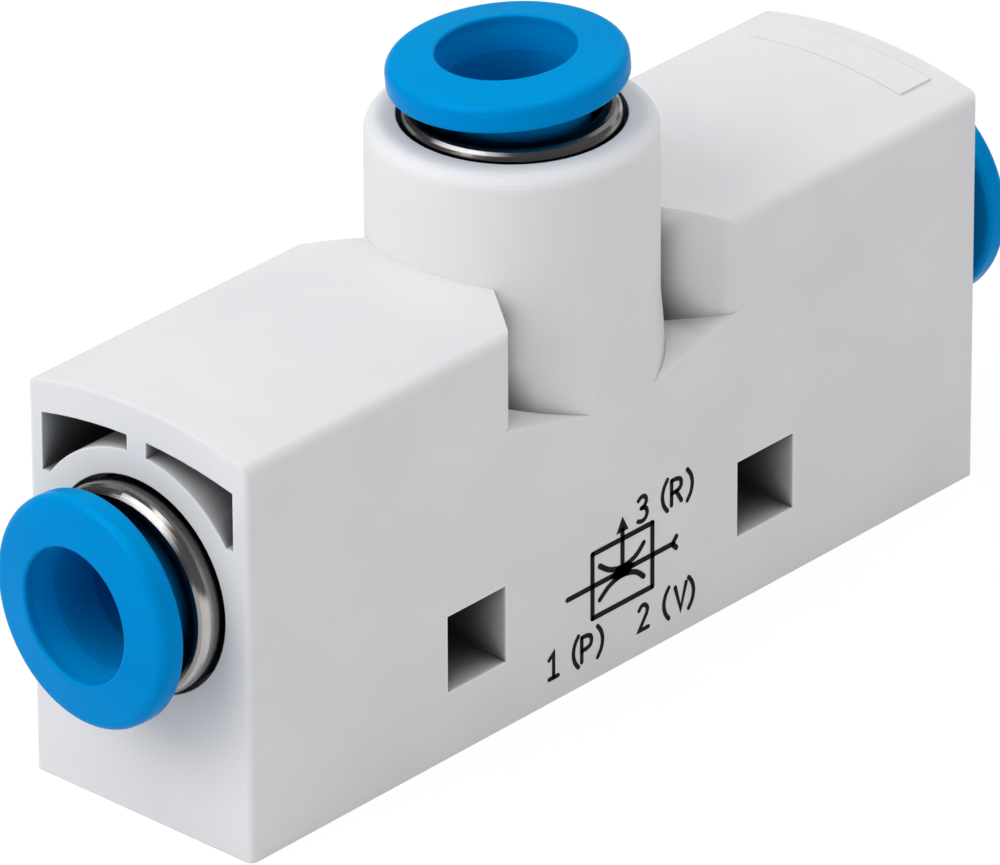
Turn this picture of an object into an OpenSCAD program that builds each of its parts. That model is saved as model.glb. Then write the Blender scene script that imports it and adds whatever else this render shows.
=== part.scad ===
// Inline vacuum ejector: a moulded T-shaped housing with three push-in tube
// connections. Pressure enters at the -X end, vacuum is drawn at the +X end
// and the tower lets the exhaust out. The origin is at the bottom centre.

/* [Housing] */
// Length between the two end faces
body_l = 51.2; // [48:0.1:64]
// Width across the side faces
body_w = 13.8; // [13.6:0.1:17]
// Height of the side faces
side_h = 20.5; // [20:0.1:23]
// Rise of the arched top above the side faces
crown_h = 0.9; // [0.5:0.1:1.6]
// Rounding of the long top edges
edge_r = 0.6; // [0.2:0.1:1]
// Rounding of the upright corners
corner_r = 0.35; // [0.1:0.05:0.8]
// Height of the axis of the two end ports
port_z = 12.2; // [11.8:0.1:12.6]

/* [Tower] */
// Diameter of the exhaust tower
tower_d = 13.9; // [13.6:0.05:14.4]
// Diameter of the tower's flared foot at the floor of the pockets
foot_d = 14.6; // [14.4:0.05:15.4]
// Height of the flared foot
foot_l = 4; // [2:0.25:6]
// Height of the tower's rim
tower_top = 26.85; // [26:0.05:32]
// Rounding of the tower's outer rim
rim_r = 0.8; // [0.3:0.1:1.2]

/* [Pockets beside the tower] */
// Distance from the tower's axis to the foot of a pocket's end wall
wing_x = 5.7; // [5.5:0.05:6.2]
// Lean of a pocket's end wall away from the tower
wing_angle = 36; // [20:1:40]
// Rounding between a pocket's end wall and the side face
wing_r = 1; // [0.6:0.1:1.6]
// Height of a pocket's floor below the tower's axis
wing_floor_z = 13.6; // [13:0.05:15]
// Climb of a pocket's floor towards its end wall
wing_slope = 14; // [4:1:20]

/* [Hollows in the end faces] */
// Depth of each hollow
hollow_depth = 6; // [2:0.5:7]
// Thickness of the side wall beside a hollow
hollow_wall = 0.9; // [0.7:0.05:1.4]
// Thickness of the arched roof above a hollow
hollow_roof = 1.65; // [1:0.05:2]
// Thickness of the web between the two hollows
hollow_web = 1.2; // [0.8:0.1:2]
// Height of the lower edge of a hollow
hollow_z = 16.05; // [15:0.05:17]
// Outer diameter of the boss round the end port
boss_d = 13.5; // [13:0.1:13.6]

/* [Mounting holes] */
// Width of the square cross holes
mount_w = 4; // [3:0.1:4.5]
// Distance between the two cross holes
mount_pitch = 20.4; // [16:0.1:24]
// Height of the cross holes' axes
mount_z = 5.5; // [4:0.1:6]

/* [Label field] */
// Length of the raised field along the housing
label_l = 2.2; // [1:0.1:2.6]
// Width of the raised field
label_w = 9.6; // [6:0.1:11]
// Distance from the raised field to the end face
label_margin = 1.1; // [0.6:0.1:2]
// Height of the raised field
label_rise = 0.12; // [0.05:0.01:0.3]

/* [Port bores] */
// Diameter of the bore that takes the metal sleeve
bore_d = 10.3; // [10.2:0.05:10.4]
// Diameter of the bore's mouth
mouth_d = 10.9; // [10.5:0.05:11.2]
// Depth of the bore's mouth
mouth_depth = 1; // [0.4:0.1:1.4]
// Diameter of the hole that guides the tube
guide_d = 6.2; // [6.1:0.05:6.3]
// Length of the tube guides behind the end ports
guide_l = 4; // [3:0.25:5]
// Length of the tube guide behind the tower's port
tower_guide_l = 2.9; // [2.2:0.1:3.1]

/* [Metal sleeves] */
// Outer diameter of a sleeve below its lip
sleeve_d = 10; // [9.8:0.05:10.1]
// Length of a sleeve
sleeve_l = 6.4; // [6:0.1:7]
// Rounding of a sleeve's lip
lip_r = 0.75; // [0.4:0.05:0.8]
// Height of an end port's lip above the end face
end_stand = 1.3; // [0.8:0.1:2]
// Height of the tower port's lip above the rim
tower_stand = 0.6; // [0.2:0.1:1]
// Thickness of a sleeve's wall behind its lip
sleeve_wall = 0.6; // [0.45:0.05:0.65]
// Number of grooved barbs round a sleeve
barb_count = 2; // [1:1:2]

/* [Release rings] */
// Diameter of a release ring's flange
flange_d = 11.5; // [10.8:0.1:12]
// Thickness of the flange at its mouth
flange_t = 1.7; // [1.4:0.1:2]
// Fall of the flange's face towards its edge, in degrees
flange_slope = 9; // [2:1:12]
// Gap between the flange and the sleeve's lip
flange_gap = 1.1; // [1.1:0.05:1.5]
// Diameter of the stem inside the sleeve
stem_d = 7.5; // [7.3:0.05:7.55]
// Length of the stem below the sleeve's lip
stem_l = 5.6; // [5:0.1:5.6]
// Diameter of the ring's mouth
ring_mouth_d = 6.7; // [6.6:0.05:7]
// Diameter of the ring's throat
ring_throat_d = 6.3; // [6.25:0.05:6.45]
// Lean of the pressure port's ring within its play, in degrees
pressure_lean = 4; // [0:0.1:4.6]
// Sag of the pressure port's ring within its play
pressure_sag = 0.15; // [0:0.01:0.15]
// Lean of the exhaust port's ring within its play, in degrees
exhaust_lean = 4.3; // [0:0.1:4.6]

/* [Grip rings] */
// Thickness of the spring steel
claw_t = 0.3; // [0.2:0.05:0.35]
// Slope of the claws
claw_angle = 40; // [32:1:42]
// Number of claws
claw_count = 8; // [6:1:12]
// Width of the slots between the claws
slot_w = 0.7; // [0.4:0.05:0.9]
// Bite of the claws into a tube's wall
claw_bite = 0.05; // [0:0.01:0.12]

/* [Seals and support rings] */
// Outer diameter of the tubes
tube_d = 6; // [5.9:0.05:6]
// Thickness of a support ring
support_t = 1.7; // [1.6:0.05:2]
// Thickness of a tube seal
seal_t = 1.5; // [1.2:0.05:1.8]

/* [Nozzles] */
// Height of the nozzles' axis above the ports' axis
nozzle_rise = 0.85; // [0.7:0.05:0.85]
// Diameter of the bore that takes the nozzles
nozzle_bore_d = 4.4; // [4.2:0.05:4.45]
// Length of the jet nozzle
jet_l = 4.7; // [4:0.1:5]
// Diameter of the jet nozzle's throat
jet_throat_d = 0.7; // [0.4:0.05:1]
// Gap between the jet and the receiver
suction_gap = 1.3; // [1:0.1:1.6]
// Outer diameter of the receiver nozzle
receiver_d = 2.76; // [2.6:0.02:2.8]
// Diameter of the receiver's throat
receiver_throat_d = 1.2; // [0.8:0.05:1.4]
// Length of the receiver's collar
collar_l = 0.6; // [0.5:0.05:0.8]
// Thickness of the nozzles' sealing rings
nozzle_seal_t = 0.6; // [0.5:0.05:0.65]
// Diameter of the exhaust chamber below the tower
chamber_d = 4.6; // [4.2:0.1:5]
// Diameter of the suction passage
bypass_d = 1.6; // [1.2:0.1:1.7]
// Depth of the suction passage below the ports' axis
bypass_drop = 1.7; // [1.6:0.05:2]

/* [Clearances] */
// Radial gap of the pieces that are pressed into a bore
press_gap = 0.02; // [0.01:0.01:0.05]
// Radial gap between a sleeve's lip and the bore's mouth
lip_gap = 0.2; // [0.2:0.05:0.4]
// Radial gap between a stem and its sleeve
stem_gap = 0.2; // [0.18:0.01:0.3]
// Axial gap on each side of a seal
seal_gap = 0.05; // [0.02:0.01:0.1]

/* [Hidden] */
$fn = 96;
arc_steps = 6;
eps = 0.01;
over = 1;

crown_r = (body_w * body_w / 4 + crown_h * crown_h) / (2 * crown_h);
crown_z = side_h + crown_h;
crown_axis_z = crown_z - crown_r;
tower_r = tower_d / 2;
foot_r = foot_d / 2;
wing_y = sqrt(tower_r * tower_r - wing_x * wing_x);
wing_foot = 0.5;
bore_r = bore_d / 2;
mouth_r = mouth_d / 2;
guide_r = guide_d / 2;
tube_r = tube_d / 2;
boss_r = boss_d / 2;

// Heights in a port's own frame: zero at the sleeve's lip, outwards is up
grip_z = -sleeve_l;
support_z = grip_z - claw_t;
seal_z = support_z - support_t;
floor_z = seal_z - seal_t - 2 * seal_gap;
stop_z = floor_z - guide_l;
tower_stop_z = floor_z - tower_guide_l;
mouth_taper = 0.4;

// Sleeve
sleeve_r = sleeve_d / 2;
barb_r = bore_r - press_gap;
barb_rise = 0.08;
sleeve_fit_r = barb_r - barb_rise;
cavity_r = sleeve_fit_r - sleeve_wall;
stem_r = stem_d / 2;
lip_bore_r = stem_r + stem_gap;
lip_bevel = 0.9;
lip_outer_r = mouth_r - lip_gap;
lip_end_gap = 0.2;
lip_l = min(end_stand, tower_stand) + mouth_depth - lip_end_gap;
lip_flat = 0.15;
lip_land_z = -1.2;
collar_z = -2.9;
collar_bevel = 0.2;
barb_pitch = 1.3;
barb_l = 0.8;
barb_flank = 0.2;

// Release ring
flange_r = flange_d / 2;
ring_face_z = flange_gap + flange_t;
ring_edge_r = 0.55;
ring_under_r = 0.3;
ring_root_r = 0.6;
ring_mouth_r = ring_mouth_d / 2;
ring_mouth_edge = 0.15;
ring_mouth_l = 0.5;
ring_throat_r = ring_throat_d / 2;
nose_relief = 0.2;
ring_nose_r = ring_throat_r + nose_relief;
bead_catch = 0.15;
bead_r = lip_bore_r + bead_catch;
bead_play = 0.55;
bead_z = lip_land_z - bead_play;
bead_bevel = 0.1;
bead_l = 0.4;
bead_taper_l = 0.7;
nose_bevel = 0.3;
lean_pivot_rise = 0.35;
lean_pivot_z = lip_land_z + lean_pivot_rise;
pressure_lean_dir = 84;
exhaust_lean_dir = 134;

// Grip ring and support ring
rim_gap = 0.15;
rim_outer_r = bore_r - rim_gap;
claw_tip_r = tube_r - claw_bite;
claw_root_gap = 0.1;
claw_root_r = cavity_r - claw_root_gap;
claw_run = claw_root_r - claw_tip_r;
claw_drop = claw_run * tan(claw_angle);
claw_dx = claw_t * sin(claw_angle);
claw_dz = claw_t * cos(claw_angle);
claw_room = 0.34;
support_bore_gap = 0.1;
support_bore_r = guide_r + support_bore_gap;

// Places along the housing
port_x = body_l / 2 + end_stand;
stop_x = port_x + stop_z;
tower_port_z = tower_top + tower_stand;
tower_stop = tower_port_z + tower_stop_z;
nozzle_z = port_z + nozzle_rise;
nozzle_bore_r = nozzle_bore_d / 2;
nozzle_fit_r = nozzle_bore_r - press_gap;
jet_recess = 0.1;
jet_back_x = jet_recess - stop_x;
jet_front_x = jet_back_x + jet_l;
collar_x = jet_front_x + suction_gap;
collar_back_x = collar_x + collar_l;
shoulder_x = collar_back_x + nozzle_seal_t + 2 * press_gap;
receiver_r = receiver_d / 2;
receiver_bore_r = receiver_r + press_gap;
chamber_r = chamber_d / 2;
receiver_reach = 0.3;
receiver_end_x = receiver_reach - chamber_r;
chamber_drop = 1.05;
chamber_z = nozzle_z - chamber_drop;
bypass_z = port_z - bypass_drop;
bypass_r = bypass_d / 2;

HOUSING = "#e3e3e5";
METAL = "#b5b2ae";
STEEL = "#c9cbcd";
BLUE = "#0a93d2";
RUBBER = "#26262a";
SUPPORT = "#d9d6cc";
BRASS = "#c9a75a";

// Points of an arc round c from angle a0 to angle a1
function arc(c, r, a0, a1, n = arc_steps) =
    [for (i = [0:n]) c + r * [cos(a0 + (a1 - a0) * i / n), sin(a0 + (a1 - a0) * i / n)]];

// ---------- places ----------

module at_pressure_port() {
    translate([-port_x, 0, port_z]) rotate([0, -90, 0]) children();
}

module at_vacuum_port() {
    translate([port_x, 0, port_z]) rotate([0, 90, 0]) children();
}

module at_exhaust_port() {
    translate([0, 0, tower_port_z]) children();
}

// Turned pieces of the nozzle set lie along X on the nozzles' axis
module along_nozzle() {
    translate([0, 0, nozzle_z]) rotate([0, 90, 0]) children();
}

module lean(angle, direction) {
    translate([0, 0, lean_pivot_z])
        rotate([0, 0, direction]) rotate([0, angle, 0])
            translate([0, 0, -lean_pivot_z]) children();
}

module mirrored_x() {
    children();
    mirror([1, 0, 0]) children();
}

module mirrored_y() {
    children();
    mirror([0, 1, 0]) children();
}

// Turns a profile drawn across the housing (Y, Z) into a bar along X
module along_x(length) {
    rotate([90, 0, 90]) linear_extrude(length, center = true) children();
}

// ---------- housing ----------

module plan_outline() {
    x = body_l / 2 - corner_r;
    y = body_w / 2 - corner_r;
    polygon(concat(
        arc([x, y], corner_r, 0, 90),
        arc([-x, y], corner_r, 90, 180),
        arc([-x, -y], corner_r, 180, 270),
        arc([x, -y], corner_r, 270, 360)
    ));
}

// What the rounding of a long top edge takes away
module top_edge_waste() {
    y = body_w / 2 - edge_r;
    z = crown_axis_z + sqrt(pow(crown_r - edge_r, 2) - y * y);
    reach = 2 * edge_r + over;
    n = [y, z - crown_axis_z] / (crown_r - edge_r);
    difference() {
        polygon([[y, z], [y + reach, z], [y + reach, z + reach], [y, z] + reach * n]);
        translate([y, z]) circle(edge_r);
    }
}

module block() {
    difference() {
        intersection() {
            linear_extrude(crown_z + over) plan_outline();
            translate([0, 0, crown_axis_z]) rotate([0, 90, 0])
                cylinder(r = crown_r, h = body_l + 2 * over, center = true, $fn = 360);
        }
        mirrored_y() along_x(body_l + 2 * over) top_edge_waste();
    }
}

// The tower flares a little towards the pockets and is flat where it meets
// the side faces
module tower() {
    intersection() {
        rotate_extrude() polygon(concat(
            [[0, port_z], [foot_r, port_z], [foot_r, wing_floor_z],
             [tower_r, wing_floor_z + foot_l]],
            arc([tower_r - rim_r, tower_top - rim_r], rim_r, 0, 90),
            [[0, tower_top]]
        ));
        translate([-tower_d, -body_w / 2, 0]) cube([2 * tower_d, body_w, tower_top + over]);
    }
}

// Plan of one pocket: its end wall starts inside the tower and rounds off
// into the side face
module wing_plan() {
    lean = tan(wing_angle);
    y0 = wing_y - wing_foot;
    y1 = body_w / 2;
    tangent = wing_r * tan((90 - wing_angle) / 2);
    c = [wing_x + (y1 - wing_y) * lean + tangent, y1 - wing_r];
    polygon(concat(
        [[0, y0], [wing_x - wing_foot * lean, y0]],
        arc(c, wing_r, 180 - wing_angle, 90, 12),
        [[c[0], y1 + 2 * over], [0, y1 + 2 * over]]
    ));
}

module wing_pockets() {
    mirrored_x() mirrored_y() intersection() {
        linear_extrude(tower_top) wing_plan();
        translate([0, 0, wing_floor_z]) rotate([0, -wing_slope, 0])
            cube([2 * body_w, body_w, tower_top]);
    }
}

// Outline of the two hollows above an end port's boss
module hollow_outline() {
    difference() {
        intersection() {
            translate([-body_w / 2 + hollow_wall, hollow_z])
                square([body_w - 2 * hollow_wall, crown_z]);
            translate([0, crown_axis_z]) circle(crown_r - hollow_roof, $fn = 360);
        }
        translate([0, port_z]) circle(boss_r);
        translate([-hollow_web / 2, 0]) square([hollow_web, crown_z + over]);
    }
}

module end_hollows() {
    mirrored_x() translate([body_l / 2 - hollow_depth / 2 + over / 2, 0, 0])
        along_x(hollow_depth + over) hollow_outline();
}

module mount_holes() {
    mirrored_x() translate([mount_pitch / 2, 0, mount_z])
        cube([mount_w, body_w + 2 * over, mount_w], center = true);
}

module label_field() {
    x = body_l / 2 - label_margin - label_l;
    intersection() {
        translate([x, -label_w / 2, side_h]) cube([label_l, label_w, crown_h + over]);
        translate([0, 0, crown_axis_z]) rotate([0, 90, 0])
            cylinder(r = crown_r + label_rise, h = body_l, center = true, $fn = 360);
    }
}

// Stepped bore of one port; the housing's face is at -stand
module port_bore(stand, stop) {
    rotate_extrude() polygon([
        [0, stop], [guide_r, stop], [guide_r, floor_z], [bore_r, floor_z],
        [bore_r, -stand - mouth_depth - mouth_taper], [mouth_r, -stand - mouth_depth],
        [mouth_r, -stand + over], [0, -stand + over]
    ]);
}

module nozzle_passages() {
    along_nozzle() {
        translate([0, 0, -stop_x - eps])
            cylinder(r = nozzle_bore_r, h = shoulder_x + stop_x + eps);
        translate([0, 0, shoulder_x - eps])
            cylinder(r = receiver_bore_r, h = receiver_end_x - shoulder_x + eps);
    }
    translate([0, 0, chamber_z]) cylinder(r = chamber_r, h = tower_stop - chamber_z + eps);
    translate([jet_front_x, 0, bypass_z]) rotate([0, 90, 0])
        cylinder(r = bypass_r, h = stop_x - jet_front_x + eps);
}

module housing() {
    color(HOUSING) difference() {
        union() {
            difference() {
                block();
                wing_pockets();
            }
            tower();
            label_field();
        }
        at_pressure_port() port_bore(end_stand, stop_z);
        at_vacuum_port() port_bore(end_stand, stop_z);
        at_exhaust_port() port_bore(tower_stand, tower_stop_z);
        nozzle_passages();
        end_hollows();
        mount_holes();
    }
}

// ---------- pieces of a port, in the port's own frame ----------

// Turned and plated sleeve: rounded lip, land for the stem, barbed press fit
module sleeve() {
    crest_r = lip_outer_r - lip_r;
    color(METAL) rotate_extrude() polygon(concat(
        [[cavity_r, -sleeve_l], [cavity_r, lip_land_z], [lip_bore_r, lip_land_z],
         [lip_bore_r, -lip_bevel], [crest_r - lip_flat, 0]],
        arc([crest_r, -lip_r], lip_r, 90, 0),
        [[lip_outer_r, -lip_l], [sleeve_r, sleeve_r - lip_outer_r - lip_l],
         [sleeve_r, collar_z + collar_bevel]],
        [for (i = [0:barb_count - 1], k = [0:2])
            [k == 1 ? barb_r : sleeve_fit_r,
             collar_z - i * barb_pitch - [0, barb_flank, 1][k] * barb_l]],
        [[sleeve_fit_r, collar_bevel - sleeve_l], [sleeve_fit_r - collar_bevel, -sleeve_l]]
    ));
}

// Moulded release ring: flange with a gently coned face to press on, hollow
// stem, snap bead and nose
module release_ring() {
    mouth = [ring_mouth_r + ring_mouth_edge, ring_face_z - ring_mouth_edge];
    edge_r0 = flange_r - ring_edge_r;
    tilt = 90 - flange_slope;
    // The face is tangent to the rounding of the mouth and to that of the edge
    fall = (edge_r0 - mouth[0]) * tan(flange_slope)
        + (ring_edge_r - ring_mouth_edge) / cos(flange_slope);
    color(BLUE) rotate_extrude() polygon(concat(
        arc([edge_r0, mouth[1] - fall], ring_edge_r, tilt, 0),
        arc([flange_r - ring_under_r, flange_gap + ring_under_r], ring_under_r, 0, -90),
        arc([stem_r + ring_root_r, flange_gap - ring_root_r], ring_root_r, 90, 180),
        [[stem_r, bead_z + bead_bevel], [bead_r, bead_z], [bead_r, bead_z - bead_l],
         [stem_r, bead_z - bead_l - bead_taper_l], [stem_r, nose_bevel - stem_l],
         [stem_r - nose_bevel / 2, -stem_l], [ring_nose_r, -stem_l],
         [ring_nose_r, bead_z - bead_l], [ring_throat_r, lip_land_z],
         [ring_throat_r, flange_gap], [ring_mouth_r, ring_face_z - ring_mouth_l]],
        arc(mouth, ring_mouth_edge, 180, tilt)
    ));
}

// Stamped spring-steel ring whose sloping claws hold the tube
module grip_ring() {
    color(STEEL) difference() {
        rotate_extrude() polygon([
            [rim_outer_r, grip_z], [claw_root_r, grip_z],
            [claw_tip_r, grip_z - claw_drop],
            [claw_tip_r + claw_dx, grip_z - claw_drop - claw_dz],
            [claw_root_r + claw_t * tan(claw_angle / 2), support_z],
            [rim_outer_r, support_z]
        ]);
        for (i = [0:claw_count - 1]) rotate(i * 360 / claw_count) {
            translate([0, -slot_w / 2, grip_z - claw_drop - over])
                cube([claw_root_r - slot_w / 2, slot_w, claw_drop + 2 * over]);
            translate([claw_root_r - slot_w / 2, 0, grip_z - claw_drop - over])
                cylinder(d = slot_w, h = claw_drop + 2 * over, $fn = 24);
        }
    }
}

// Ring that backs the claws and keeps the seal in its seat
module support_ring() {
    top_r = claw_root_r + claw_t * tan(claw_angle / 2) + claw_room;
    bottom = support_z - (top_r - support_bore_r) * tan(claw_angle);
    color(SUPPORT) rotate_extrude() polygon([
        [top_r, support_z], [support_bore_r, bottom], [support_bore_r, seal_z],
        [rim_outer_r, seal_z], [rim_outer_r, support_z]
    ]);
}

// Moulded seal with a rounded lip that runs on the tube
module tube_seal() {
    top = seal_z - seal_gap;
    mid = top - seal_t / 2;
    outer = bore_r - press_gap;
    lip = 0.3 * seal_t;
    waist_r = claw_tip_r + lip;
    color(RUBBER) rotate_extrude() polygon(concat(
        [[outer, top - seal_t], [outer, top], [outer - 0.4 * (outer - claw_tip_r), top]],
        [[waist_r + lip, mid + lip]],
        arc([waist_r, mid], lip, 90, 270),
        [[waist_r + lip, mid - lip]],
        [[outer - 0.4 * (outer - claw_tip_r), top - seal_t]]
    ));
}

// ---------- nozzle set, turned about X ----------

// Jet nozzle: tapered inlet, throat and widening outlet, groove for its seal
module jet_nozzle() {
    inlet_r = nozzle_fit_r / 2;
    throat_r = jet_throat_d / 2;
    outlet_r = 1.35 * throat_r;
    groove_r = nozzle_fit_r - nozzle_seal_t;
    groove_l = nozzle_seal_t + 4 * press_gap;
    groove_x = jet_back_x + jet_l / 2 - groove_l / 2;
    throat_x = jet_front_x - 0.3 * jet_l;
    color(BRASS) along_nozzle() rotate_extrude() polygon([
        [inlet_r, jet_back_x], [nozzle_fit_r, jet_back_x],
        [nozzle_fit_r, groove_x], [groove_r, groove_x],
        [groove_r, groove_x + groove_l], [nozzle_fit_r, groove_x + groove_l],
        [nozzle_fit_r, jet_front_x - 0.2 * jet_l], [3 * throat_r, jet_front_x],
        [outlet_r, jet_front_x], [throat_r, throat_x],
        [throat_r, throat_x - 0.1 * jet_l], [inlet_r, jet_back_x + 0.3 * jet_l]
    ]);
}

module nozzle_seal(x, outer_r) {
    r = nozzle_seal_t / 2 - press_gap / 2;
    color(RUBBER) along_nozzle() translate([0, 0, x])
        rotate_extrude() translate([outer_r - r, 0]) circle(r, $fn = 32);
}

module jet_seal() {
    nozzle_seal(jet_back_x + jet_l / 2, nozzle_fit_r);
}

// Receiver nozzle: bell mouth, mixing bore and diffuser
module receiver_nozzle() {
    throat_r = receiver_throat_d / 2;
    bell_r = 0.75 * nozzle_fit_r;
    diffuser_r = receiver_r - 0.3;
    mix_x = collar_x + 1.2 * collar_l;
    color(SUPPORT) along_nozzle() rotate_extrude() polygon([
        [bell_r, collar_x], [nozzle_fit_r, collar_x], [nozzle_fit_r, collar_back_x],
        [receiver_r, collar_back_x], [receiver_r, receiver_end_x],
        [diffuser_r, receiver_end_x], [throat_r, mix_x + 1.2], [throat_r, mix_x]
    ]);
}

module receiver_seal() {
    nozzle_seal((collar_back_x + shoulder_x) / 2, receiver_r + nozzle_seal_t);
}

// ---------- pieces in their places ----------

module pressure_sleeve() { at_pressure_port() sleeve(); }
module pressure_release_ring() {
    at_pressure_port() translate([-pressure_sag, 0, 0])
        lean(pressure_lean, pressure_lean_dir) release_ring();
}
module pressure_grip_ring() { at_pressure_port() grip_ring(); }
module pressure_support_ring() { at_pressure_port() support_ring(); }
module pressure_seal() { at_pressure_port() tube_seal(); }

module vacuum_sleeve() { at_vacuum_port() sleeve(); }
module vacuum_release_ring() { at_vacuum_port() release_ring(); }
module vacuum_grip_ring() { at_vacuum_port() grip_ring(); }
module vacuum_support_ring() { at_vacuum_port() support_ring(); }
module vacuum_seal() { at_vacuum_port() tube_seal(); }

module exhaust_sleeve() { at_exhaust_port() sleeve(); }
module exhaust_release_ring() {
    at_exhaust_port() lean(exhaust_lean, exhaust_lean_dir) release_ring();
}
module exhaust_grip_ring() { at_exhaust_port() grip_ring(); }
module exhaust_support_ring() { at_exhaust_port() support_ring(); }
module exhaust_seal() { at_exhaust_port() tube_seal(); }

housing();
pressure_sleeve();
pressure_release_ring();
pressure_grip_ring();
pressure_support_ring();
pressure_seal();
vacuum_sleeve();
vacuum_release_ring();
vacuum_grip_ring();
vacuum_support_ring();
vacuum_seal();
exhaust_sleeve();
exhaust_release_ring();
exhaust_grip_ring();
exhaust_support_ring();
exhaust_seal();
jet_nozzle();
jet_seal();
receiver_nozzle();
receiver_seal();
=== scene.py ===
"""Looks of the inline vacuum ejector: finishes for every moulded, turned and
stamped piece, the printed port diagram on the side, soft studio light and a
camera. Everything is in metres, in the same frame as the CAD model, apart from
the points and widths of the print, which are in mm."""

import math

import bmesh
import bpy
from mathutils import Matrix, Vector

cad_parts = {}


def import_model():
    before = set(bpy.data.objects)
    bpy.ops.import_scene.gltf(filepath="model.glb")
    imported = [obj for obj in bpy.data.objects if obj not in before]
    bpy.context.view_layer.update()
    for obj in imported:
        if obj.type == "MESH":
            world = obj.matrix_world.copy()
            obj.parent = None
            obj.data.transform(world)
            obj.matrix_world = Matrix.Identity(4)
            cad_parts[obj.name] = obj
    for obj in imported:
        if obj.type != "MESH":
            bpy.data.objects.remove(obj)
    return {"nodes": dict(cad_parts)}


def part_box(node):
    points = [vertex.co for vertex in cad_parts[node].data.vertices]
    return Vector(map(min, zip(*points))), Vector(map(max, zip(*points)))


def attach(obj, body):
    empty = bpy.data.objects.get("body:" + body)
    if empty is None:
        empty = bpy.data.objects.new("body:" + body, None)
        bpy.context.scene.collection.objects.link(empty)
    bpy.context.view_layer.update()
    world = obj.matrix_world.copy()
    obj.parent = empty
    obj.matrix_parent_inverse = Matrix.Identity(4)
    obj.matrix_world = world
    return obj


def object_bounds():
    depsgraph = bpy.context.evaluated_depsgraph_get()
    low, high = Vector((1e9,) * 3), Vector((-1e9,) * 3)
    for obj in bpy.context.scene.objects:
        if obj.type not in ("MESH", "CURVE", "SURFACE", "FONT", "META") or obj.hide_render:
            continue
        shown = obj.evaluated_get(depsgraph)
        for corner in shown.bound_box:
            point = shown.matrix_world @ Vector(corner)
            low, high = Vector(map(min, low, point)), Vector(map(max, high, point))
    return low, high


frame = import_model()
cad_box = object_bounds()

MM = 0.001
LO, HI = cad_box
SIDE_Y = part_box("housing")[0].y  # of the marked side
OPENNESS_SAMPLES = 8
EDGE_SAMPLES = 6


# ---------- small node-tree helpers ----------


def srgb(r, g, b):
    """An 8-bit screen colour as a linear RGBA value."""

    def lin(c):
        c /= 255
        return c / 12.92 if c <= 0.04045 else ((c + 0.055) / 1.055) ** 2.4

    return (lin(r), lin(g), lin(b), 1.0)


class Tree:
    """The node tree of a material or world, with short ways to add nodes."""

    def __init__(self, owner):
        owner.use_nodes = True
        self.owner = owner
        self.tree = owner.node_tree

    def add(self, kind, **values):
        node = self.tree.nodes.new(kind)
        for key, value in values.items():
            setattr(node, key, value)
        return node

    def link(self, out, into):
        self.tree.links.new(out, into)

    def put(self, value, into):
        """Feeds a socket with another node's output or with a plain value."""
        if isinstance(value, bpy.types.NodeSocket):
            self.link(value, into)
        else:
            into.default_value = value

    def math(self, operation, a, b, kind="ShaderNodeMath"):
        """A sum on two values, either of which may be a plain number."""
        node = self.add(kind, operation=operation)
        self.put(a, node.inputs[0])
        self.put(b, node.inputs[1])
        return node.outputs["Value"]

    def dot(self, a, b):
        """1 where two directions agree, 0 where they are square to each other."""
        return self.math("DOT_PRODUCT", a, b, "ShaderNodeVectorMath")

    def spread(self, value, low, high, at_low=0.3, at_high=0.7, curve="LINEAR"):
        """Maps at_low to at_high onto low to high, and holds at both ends."""
        node = self.add("ShaderNodeMapRange", interpolation_type=curve)
        node.inputs["From Min"].default_value = at_low
        node.inputs["From Max"].default_value = at_high
        node.inputs["To Min"].default_value = low
        node.inputs["To Max"].default_value = high
        self.link(value, node.inputs["Value"])
        return node.outputs["Result"]

    def plain(self, kind, colour, strength=None):
        """A shader of one colour."""
        node = self.add(kind)
        node.inputs["Color"].default_value = colour
        if strength is not None:
            self.put(strength, node.inputs["Strength"])
        return node.outputs[0]

    def mix(self, factor, a, b):
        """Shader a where the factor is 0, shader b where it is 1."""
        node = self.add("ShaderNodeMixShader")
        self.put(factor, node.inputs["Fac"])
        self.link(a, node.inputs[1])
        self.link(b, node.inputs[2])
        return node.outputs[0]


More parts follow.
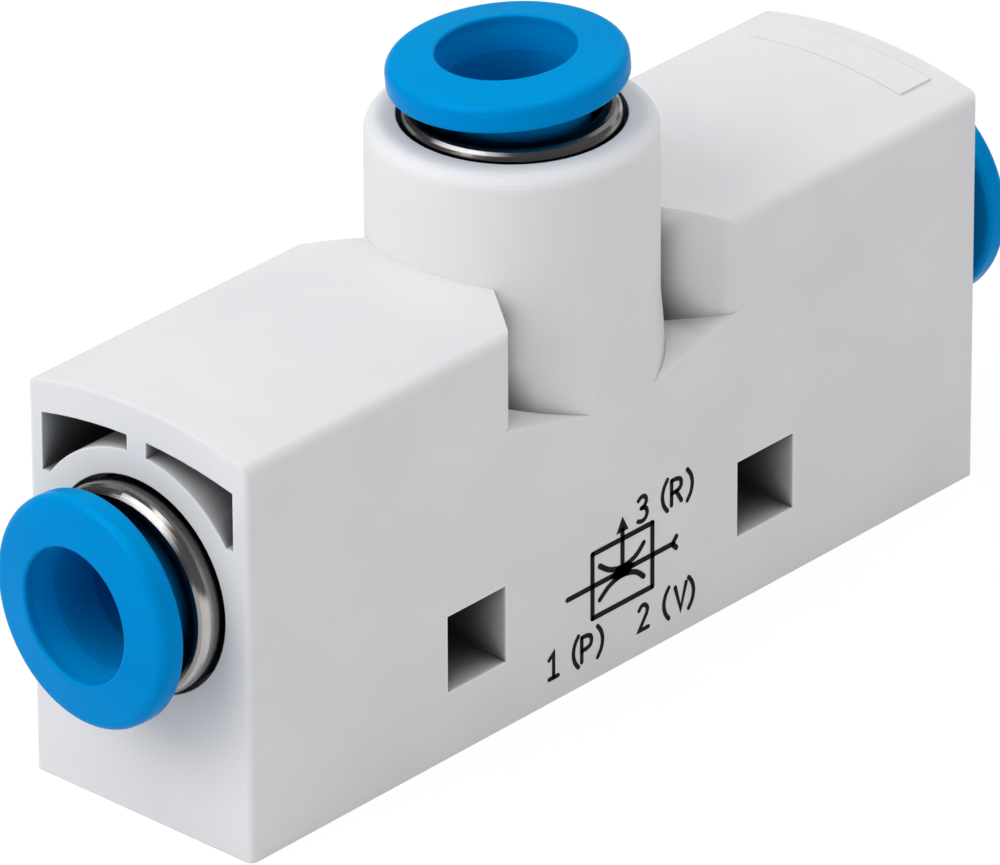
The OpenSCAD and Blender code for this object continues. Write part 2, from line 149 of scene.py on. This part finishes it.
class Finish(Tree):
    """A material built on the Principled shader, from textures in object coordinates."""

    def __init__(self, name):
        super().__init__(bpy.data.materials.new(name))
        self.shader = self.tree.nodes["Principled BSDF"]
        self.place = self.add("ShaderNodeTexCoord").outputs["Object"]

    def stretched(self, scale):
        """Object coordinates scaled by a vector."""
        node = self.add("ShaderNodeMapping")
        node.inputs["Scale"].default_value = scale
        self.link(self.place, node.inputs["Vector"])
        return node.outputs["Vector"]

    def noise(self, scale, detail=3.0, rough=0.5, vector=None):
        node = self.add("ShaderNodeTexNoise")
        node.inputs["Scale"].default_value = scale
        node.inputs["Detail"].default_value = detail
        node.inputs["Roughness"].default_value = rough
        self.link(vector or self.place, node.inputs["Vector"])
        return node.outputs["Fac"]

    def blend(self, factor, a, b):
        """Colour a where the factor is 0, colour b where it is 1."""
        node = self.add("ShaderNodeMix", data_type="RGBA")
        self.put(factor, node.inputs["Factor"])
        self.put(a, node.inputs["A"])
        self.put(b, node.inputs["B"])
        return node.outputs["Result"]

    def mottled(self, noise, a, b):
        """A colour that wanders between a and b as the noise does."""
        return self.blend(self.spread(noise, 0, 1), a, b)

    def times(self, colour, shade):
        """A colour times a shade or another colour."""
        node = self.add("ShaderNodeMix", data_type="RGBA", blend_type="MULTIPLY")
        node.inputs["Factor"].default_value = 1.0
        self.link(colour, node.inputs["A"])
        self.link(shade, node.inputs["B"])
        return node.outputs["Result"]

    def openness(self, reach, own=False):
        """1 in the open, falling to 0 where things within reach shut out the light.
        With own, only the piece itself counts."""
        node = self.add("ShaderNodeAmbientOcclusion", only_local=own)
        node.samples = OPENNESS_SAMPLES
        node.inputs["Distance"].default_value = reach
        return node.outputs["AO"]

    def painted_shade(self, colour, openness, darkest, lit, spare=None):
        """Painted shade: darkens a colour inside holes, gaps and corners, but not where
        spare nears 1.
        From the lower openness in lit to the upper one, the share of the colour that
        is left rises from darkest to 1."""
        shade = self.spread(openness, darkest, 1.0, *lit)
        if spare is not None:
            shade = self.math("MAXIMUM", shade, spare)
        return self.times(colour, shade)

    def normal(self):
        return self.add("ShaderNodeNewGeometry").outputs["Normal"]

    def upward(self, vector, low, high):
        """0 where the vector's Z is below low, rising to 1 at high."""
        parts = self.add("ShaderNodeSeparateXYZ")
        self.link(vector, parts.inputs[0])
        return self.spread(parts.outputs["Z"], 0, 1, low, high)

    def facing_up(self):
        """1 on faces that look up, 0 on upright ones."""
        return self.upward(self.normal(), 0.5, 0.85)

    def above(self, low, high):
        """0 below the low height, rising to 1 at the high one."""
        return self.upward(self.place, low, high)

    def soft_edges(self, radius):
        """Normals that turn over the edges as if they had the given radius."""
        node = self.add("ShaderNodeBevel", samples=EDGE_SAMPLES)
        node.inputs["Radius"].default_value = radius
        return node.outputs["Normal"]

    def painted_edge_highlight(self, colour, radius, bright, share):
        """A painted highlight: a colour that turns into the bright one along outside
        edges, by share at most, as if they were slightly rounded and caught the light."""
        turn = self.dot(self.soft_edges(radius), self.normal())
        edge = self.spread(turn, share, 0, at_low=0.82, at_high=0.985)
        outside = self.spread(self.openness(radius), 0, 1, at_low=0.7, at_high=0.9)
        return self.blend(self.math("MULTIPLY", edge, outside), colour, bright)

    def bump(self, height, depth, normal=None):
        node = self.add("ShaderNodeBump")
        node.inputs["Strength"].default_value = 1.0
        node.inputs["Distance"].default_value = depth
        self.link(height, node.inputs["Height"])
        if normal is not None:
            self.link(normal, node.inputs["Normal"])
        return node.outputs["Normal"]

    def made_of(self, colour, rough, normal, **values):
        """Feeds the shader, sets its other sockets by name, with _ for a space, and
        gives back the material."""
        inputs = self.shader.inputs
        self.link(colour, inputs["Base Color"])
        self.link(rough, inputs["Roughness"])
        self.link(normal, inputs["Normal"])
        for key, value in values.items():
            inputs[key.replace("_", " ")].default_value = value
        return self.owner


# ---------- materials ----------


def housing_plastic():
    """Pale grey moulded polyester with a faint eroded grain, painted shade in its creases,
    hollows and square holes, and soft arrises from turned normals and a painted highlight.
    """
    t = Finish("housing_plastic")
    pale = t.mottled(t.noise(160, 2), srgb(226, 226, 228), srgb(231, 231, 232))
    # Painted shade in creases, on upright faces only, and not at the tower's foot on top
    up = t.facing_up()
    spared = t.math("MAXIMUM", up, t.above(18.1 * MM, 20.6 * MM))
    crease = t.openness(2.2 * MM, own=True)
    pale = t.painted_shade(pale, crease, darkest=0.3, lit=(0.28, 0.8), spare=spared)
    # Painted shade in the hollows, but not on the pockets' floors, which lie at about 14
    # to 15.5 mm
    hollow = t.openness(8 * MM, own=True)
    from_floor, past_floor = t.above(13 * MM, 13.5 * MM), t.above(15 * MM, 15.5 * MM)
    floor = t.math("MINIMUM", up, t.math("SUBTRACT", from_floor, past_floor))
    pale = t.painted_shade(pale, hollow, darkest=0.28, lit=(0.14, 0.5), spare=floor)
    # The square holes get the darkest painted shade, with whatever else is hollow below 12
    # mm
    past_holes = t.above(12 * MM, 13 * MM)
    pale = t.painted_shade(pale, hollow, darkest=0.2, lit=(0.1, 0.6), spare=past_holes)
    # Painted highlight along the outside edges
    pale = t.painted_edge_highlight(pale, 0.35 * MM, bright=srgb(252, 252, 253), share=0.5)
    grain = t.noise(5200, 4, 0.6)
    skin = t.bump(grain, 0.006 * MM, t.soft_edges(0.1 * MM))
    return t.made_of(pale, t.spread(grain, 0.52, 0.64), skin, Specular_IOR_Level=0.2)


def blue_plastic():
    """Glossy sky-blue acetal of the release rings."""
    t = Finish("blue_plastic")
    blue = t.mottled(t.noise(220, 2), (0.0, 0.28, 0.655, 1), (0.0, 0.3, 0.695, 1))
    # Painted shade: upright faces are a little deeper than those that face up
    blue = t.times(blue, t.blend(t.facing_up(), (1, 0.85, 0.93, 1), (1, 1, 1, 1)))
    # Painted highlight along the outside edges, in a lighter blue
    blue = t.painted_edge_highlight(blue, 0.14 * MM, bright=(0.012, 0.36, 0.68, 1), share=0.6)
    # Painted shade: the throat goes deep blue, and the gaps round the ring go dark
    throat_shade = t.spread(t.openness(6 * MM, own=True), 0, 1, at_low=0.18, at_high=0.64)
    blue = t.blend(throat_shade, (0.0, 0.012, 0.07, 1), blue)
    blue = t.painted_shade(blue, t.openness(3 * MM), darkest=0.12, lit=(0.05, 0.3))
    grain = t.noise(3600, 3)
    skin = t.bump(grain, 0.0015 * MM, t.soft_edges(0.08 * MM))
    rough = t.spread(grain, 0.2, 0.28)
    tint = (0.25, 0.6, 1.0, 1)
    return t.made_of(blue, rough, skin, IOR=1.08, Specular_Tint=tint, Metallic=0.04)


def turned_metal(name, axis, colour, dull, rough):
    """Turned metal whose tool marks run round the given axis."""
    t = Finish(name)
    along, around = 14000.0, 420.0
    rings = t.stretched([along if i == axis else around for i in range(3)])
    marks = t.noise(1.0, 3, 0.6, rings)
    tone = t.mottled(t.noise(500, 3), colour, dull)
    # Painted shade, down to nearly black, in gaps and corners near other pieces
    tone = t.painted_shade(tone, t.openness(4.5 * MM), darkest=0.02, lit=(0.5, 0.92))
    skin = t.bump(marks, 0.0012 * MM, t.soft_edges(0.06 * MM))
    return t.made_of(tone, t.spread(marks, rough - 0.04, rough + 0.06), skin, Metallic=1.0)


def spring_steel():
    """Rolled stainless strip of the grip rings, lightly streaked by the press."""
    t = Finish("spring_steel")
    streaks = t.noise(1.0, 4, 0.6, t.stretched((9000, 900, 900)))
    steel = t.mottled(streaks, (0.58, 0.58, 0.59, 1), (0.66, 0.66, 0.67, 1))
    skin = t.bump(streaks, 0.001 * MM)
    return t.made_of(steel, t.spread(streaks, 0.2, 0.34), skin, Metallic=1.0)


def support_plastic():
    """Natural ivory acetal of the inner rings."""
    t = Finish("support_plastic")
    grain = t.noise(4200, 3)
    ivory = t.mottled(t.noise(300, 3), srgb(214, 209, 196), srgb(224, 220, 208))
    return t.made_of(ivory, t.spread(grain, 0.34, 0.46), t.bump(grain, 0.004 * MM))


def seal_rubber():
    """Black nitrile with a fine matt skin and a trace of mould bloom."""
    t = Finish("seal_rubber")
    grain = t.noise(9000, 3)
    black = t.mottled(t.noise(700, 4, 0.6), srgb(26, 26, 29), srgb(44, 44, 46))
    return t.made_of(black, t.spread(grain, 0.58, 0.76), t.bump(grain, 0.006 * MM))


def print_ink():
    """Matt black pad-printing ink with slightly uneven cover."""
    t = Finish("print_ink")
    cover = t.noise(2600, 4, 0.6)
    black = t.mottled(cover, srgb(8, 8, 10), srgb(24, 23, 26))
    skin = t.bump(cover, 0.003 * MM)
    return t.made_of(black, t.spread(cover, 0.5, 0.68), skin, Specular_IOR_Level=0.08)


# The bright and the dull tone of each metal
NICKEL = ((0.64, 0.615, 0.60, 1), (0.56, 0.54, 0.53, 1))
BRASS = ((0.78, 0.58, 0.28, 1), (0.70, 0.51, 0.25, 1))
PLATED_X = turned_metal("plated_brass_x", 0, *NICKEL, rough=0.17)
PLATED_Z = turned_metal("plated_brass_z", 2, *NICKEL, rough=0.17)
FINISHES = {
    "housing": housing_plastic(),
    "pressure_sleeve": PLATED_X,
    "vacuum_sleeve": PLATED_X,
    "exhaust_sleeve": PLATED_Z,
    "jet_nozzle": turned_metal("nozzle_brass", 0, *BRASS, rough=0.22),
}
BY_ENDING = {
    "_release_ring": blue_plastic(),
    "_grip_ring": spring_steel(),
    "_support_ring": support_plastic(),
    "_seal": seal_rubber(),
}
FINISHES["receiver_nozzle"] = BY_ENDING["_support_ring"]

for name, obj in frame["nodes"].items():
    finish = FINISHES.get(name)
    if finish is None:
        finish = next(m for end, m in BY_ENDING.items() if name.endswith(end))
    for slot in obj.material_slots:
        slot.material = finish
    if not obj.material_slots:
        obj.data.materials.append(finish)


# ---------- printed port diagram on the -Y side ----------

PRINT_SUNK = 0.004 * MM
PRINT_PROUD = 0.02 * MM
INK = print_ink()

# In mm: the widths of the strokes, the height of a letter, and how high the feet of
# the lower labels and of the top one stand
CAPTION_WIDTH = 0.23
DIAGRAM_WIDTH = 0.28
LETTER_HEIGHT = 1.3
LOW_LABELS = 1.27
TOP_LABEL = 7.1


def bow(points, steps=8):
    """A smooth line through the points (Catmull-Rom)."""

    def between(a, b, c, d, u):
        """The value at share u of the way from b to c, with a before and d after."""
        square = (2 * a - 5 * b + 4 * c - d) * u * u
        cube = (3 * b - a - 3 * c + d) * u**3
        return 0.5 * (2 * b + (c - a) * u + square + cube)

    out = []
    ends = [points[0], *points, points[-1]]
    for four in zip(ends, ends[1:], ends[2:], ends[3:]):
        for i in range(steps):
            out.append(tuple(between(*axis, i / steps) for axis in zip(*four)))
    return [*out, points[-1]]


def slab(bm, ring):
    """A thin printed patch with the given outline, just proud of the side."""
    back = SIDE_Y + PRINT_SUNK
    front = SIDE_Y - PRINT_PROUD
    low = [bm.verts.new((x * MM, back, z * MM)) for x, z in ring]
    top = [bm.verts.new((x * MM, front, z * MM)) for x, z in ring]
    bm.faces.new(top)
    bm.faces.new(list(reversed(low)))
    for i in range(len(ring)):
        j = (i + 1) % len(ring)
        bm.faces.new((low[i], low[j], top[j], top[i]))


def stroke(bm, points, width, steps=6):
    """One stroke of constant width through the points, with ends rounded in steps."""
    r = width / 2
    p = [Vector(q) for q in points]
    along = [(b - a).normalized() for a, b in zip(p, p[1:])]
    sides = []
    for i in range(len(p)):
        a, b = along[max(i - 1, 0)], along[min(i, len(along) - 1)]
        m = (a + b).normalized()
        n = Vector((-m.y, m.x))
        # Mitred, but no further out than the width of the stroke
        sides.append(n * (r / max(n.dot(Vector((-b.y, b.x))), 0.5)))
    left = [q + n for q, n in zip(p, sides)]
    right = [q - n for q, n in zip(p, sides)]

    def cap(centre, direction):
        start = math.atan2(direction.y, direction.x) + math.pi / 2
        turns = [start - math.pi * i / steps for i in range(1, steps)]
        return [centre + Vector((math.cos(a), math.sin(a))) * r for a in turns]

    ring = [*left, *cap(p[-1], along[-1]), *reversed(right), *cap(p[0], -along[0])]
    slab(bm, [tuple(q) for q in ring])


def printed(name, strokes, width, patches=()):
    """A printed piece made of strokes and solid patches."""
    bm = bmesh.new()
    for line in strokes:
        stroke(bm, line, width)
    for ring in patches:
        slab(bm, ring)
    bmesh.ops.recalc_face_normals(bm, faces=bm.faces)
    mesh = bpy.data.meshes.new(name)
    bm.to_mesh(mesh)
    bm.free()
    obj = bpy.data.objects.new(name, mesh)
    bpy.context.scene.collection.objects.link(obj)
    mesh.materials.append(INK)
    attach(obj, "ejector_body")


def bowl(foot):
    """The round of a P or R, from the top of the stem down to the foot's height."""
    top, bottom = [(0.24, 1.0), (0.46, 0.92)], [(0.46, foot + 0.08), (0.24, foot)]
    return [(0.0, 1.0), *bow([*top, (0.53, (1 + foot) / 2), *bottom]), (0.0, foot)]


# Each glyph: its strokes in a box one unit high, from its own left edge, and its width
STEM = [(0.0, 0.0), (0.0, 1.0)]
OPENING = [(0.27, 1.14), (0.08, 0.86), (0.0, 0.5), (0.08, 0.14), (0.27, -0.14)]
CLOSING = [(0.27 - u, v) for u, v in OPENING]
GLYPHS = {
    "1": ([[(0.02, 0.80), (0.26, 1.0), (0.26, 0.0)], [(0.02, 0.0), (0.50, 0.0)]], 0.50),
    "2": (
        [
            bow([(0.02, 0.84), (0.14, 0.97), (0.32, 0.98), (0.47, 0.80), (0.42, 0.58)])
            + [(0.02, 0.0), (0.52, 0.0)]
        ],
        0.52,
    ),
    "3": (
        [
            bow([(0.02, 0.90), (0.18, 1.0), (0.38, 0.96), (0.45, 0.76), (0.34, 0.57)])
            + [(0.18, 0.54)],
            bow([(0.18, 0.54), (0.40, 0.49), (0.50, 0.27), (0.38, 0.05), (0.18, 0.0)])
            + [(0.0, 0.06)],
        ],
        0.50,
    ),
    "(": ([bow(OPENING)], 0.27),
    ")": ([bow(CLOSING)], 0.27),
    "P": ([STEM, bowl(0.46)], 0.53),
    "R": ([STEM, bowl(0.48), [(0.26, 0.48), (0.54, 0.0)]], 0.54),
    "V": ([[(0.0, 1.0), (0.30, 0.0), (0.60, 1.0)]], 0.60),
}


def caption(name, text, x, z, gaps):
    """Writes the glyphs from (x, z), with the given gaps between them."""
    lines = []
    for ch, gap in zip(text, (*gaps, 0)):
        strokes, width = GLYPHS[ch]
        for line in strokes:
            lines.append([(x + u * LETTER_HEIGHT, z + v * LETTER_HEIGHT) for u, v in line])
        x += width * LETTER_HEIGHT + gap
    printed(name, lines, CAPTION_WIDTH)


def diagram():
    """Ejector sign: frame, flow line, the two throats and the exhaust arrow."""
    side, low, high, mid = 2.12, 3.3, 6.72, 5.0
    inlet, fork, outlet, splay = -3.87, 3.55, 3.82, 0.3
    arrow, tip = 7.1, 7.9
    corners = [(-side, low), (-side, high), (side, high), (side, low)]
    strokes = [
        *zip(corners, [*corners[1:], corners[0]]),
        [(inlet, mid), (fork, mid)],
        [(fork, mid), (outlet, mid + splay)],
        [(fork, mid), (outlet, mid - splay)],
        [(0, mid), (0, arrow + 0.1)],
    ]
    wall = [(-1.6, 0.9), (-0.9, 0.42), (0, 0.22), (0.9, 0.42), (1.5, 0.9)]
    half_core = [(-0.9, -0.05), (-0.4, 0.35), (0.4, 0.35)]
    core = []
    for s in (1, -1):
        strokes.append(bow([(x, mid + z * s) for x, z in wall]))
        core += [(x * s, mid + z * s) for x, z in half_core]
    head = [(-0.42, arrow), (0.42, arrow), (0, tip)]
    printed("port_diagram", strokes, DIAGRAM_WIDTH, [head, core])


diagram()
caption("port_label_1", "1(P)", -5.2, LOW_LABELS, (1.08, 0.24, 0.43))
caption("port_label_2", "2(V)", 1.16, LOW_LABELS, (1.11, 0.46, 0.18))
caption("port_label_3", "3(R)", 1.1, TOP_LABEL, (1.08, 0.3, 0.42))


# ---------- floor, light and camera ----------


WHITE = (1, 1, 1, 1)
FLOOR_SIZE = 6.0
FLOOR_GAP = 0.02 * MM
LAMP_DISTANCE = 0.5


def floor_material():
    """Pale matt floor, lifted to white for the eye and in gloss, with a soft shadow."""
    t = Tree(bpy.data.materials.new("studio_floor"))
    t.tree.nodes.clear()
    path = t.add("ShaderNodeLightPath").outputs
    seen = t.math("MAXIMUM", path["Is Camera Ray"], path["Is Glossy Ray"])
    seen = t.math("MAXIMUM", seen, path["Is Transmission Ray"])
    matt = t.plain("ShaderNodeBsdfDiffuse", (0.8, 0.8, 0.8, 1))
    glow = t.plain("ShaderNodeEmission", WHITE, strength=1.06)
    glow_share = t.math("MULTIPLY", seen, 0.86)
    whole = t.mix(glow_share, matt, glow)
    t.link(whole, t.add("ShaderNodeOutputMaterial").inputs["Surface"])
    return t.owner


def stage_floor():
    """A square floor just below the object, which isn't part of it."""
    half = FLOOR_SIZE / 2
    corners = [(half, half, 0), (-half, half, 0), (-half, -half, 0), (half, -half, 0)]
    mesh = bpy.data.meshes.new("studio_floor")
    mesh.from_pydata(corners, [], [range(4)])
    obj = bpy.data.objects.new("studio_floor", mesh)
    bpy.context.scene.collection.objects.link(obj)
    obj.location = (0, 0, LO.z - FLOOR_GAP)
    mesh.materials.append(floor_material())


def world():
    """Even white surroundings: full strength to the eye, softer as light. In gloss
    they are dim, but for one broad panel round the key lamp."""
    t = Tree(bpy.data.worlds.new("studio"))
    bpy.context.scene.world = t.owner
    t.tree.nodes.clear()
    path = t.add("ShaderNodeLightPath").outputs
    seen = t.math("MAXIMUM", path["Is Camera Ray"], path["Is Transmission Ray"])
    sky = t.plain("ShaderNodeBackground", WHITE, strength=1.0)
    light = t.plain("ShaderNodeBackground", (0.985, 0.99, 1.0, 1), strength=0.6)
    # The panel's brightness falls off with the angle from its middle
    way = t.add("ShaderNodeTexCoord").outputs["Generated"]
    nearness = t.dot(way, Vector((-0.7, 0.1, 0.7)).normalized())
    level = t.spread(nearness, 0.15, 2.0, at_low=0.84, at_high=0.95, curve="SMOOTHSTEP")
    panel = t.plain("ShaderNodeBackground", WHITE, strength=level)
    whole = t.mix(path["Is Glossy Ray"], t.mix(seen, light, sky), panel)
    t.link(whole, t.add("ShaderNodeOutputWorld").inputs["Surface"])


def lamp(name, direction, size, level):
    """A square area light aimed at the middle of the object.
    At level 1 a surface that faces it shows its own colour."""
    data = bpy.data.lights.new(name, "AREA")
    data.shape = "SQUARE"
    data.size = size
    data.energy = level * math.pi * math.pi * LAMP_DISTANCE * LAMP_DISTANCE
    obj = bpy.data.objects.new(name, data)
    bpy.context.scene.collection.objects.link(obj)
    d = Vector(direction).normalized()
    obj.location = (LO + HI) / 2 + d * LAMP_DISTANCE
    obj.rotation_mode = "QUATERNION"
    obj.rotation_quaternion = d.to_track_quat("Z", "Y")


def camera():
    """A long lens from the front left, a little above, aimed just beside the middle."""
    az, el, roll = (math.radians(a) for a in (-47.73, 27.95, -0.2577))
    distance = 620 * MM
    height, aside, below = 10 * MM, 0.6255 * MM, 0.0608 * MM
    # The framing: what a millimetre at the aim takes up of the picture's width
    pixels_per_mm, picture_width = 21.18, 1000
    back = Vector(
        (math.sin(az) * math.cos(el), -math.cos(az) * math.cos(el), math.sin(el))
    )
    right = Vector((math.cos(az), math.sin(az), 0))
    up = back.cross(right)
    side = right * math.cos(roll) + up * math.sin(roll)
    top = up * math.cos(roll) - right * math.sin(roll)
    aim = Vector((0, 0, height)) - side * aside - top * below
    data = bpy.data.cameras.new("camera")
    data.sensor_width = 36
    data.lens = data.sensor_width * distance / MM * pixels_per_mm / picture_width
    data.clip_start, data.clip_end = 0.05, 20
    obj = bpy.data.objects.new("camera", data)
    bpy.context.scene.collection.objects.link(obj)
    obj.location = aim + back * distance
    obj.rotation_mode = "QUATERNION"
    columns = Matrix((side, top, back))
    obj.rotation_quaternion = columns.transposed().to_quaternion()
    bpy.context.scene.camera = obj


stage_floor()
world()
lamp("key", (-0.72, 0.3, 0.63), size=0.42, level=0.5)
lamp("top", (0.05, -0.12, 1), size=0.2, level=0.16)
lamp("fill", (0.85, 0.1, 0.52), size=0.4, level=0.12)
camera()
bpy.context.scene.view_settings.view_transform = "Standard"
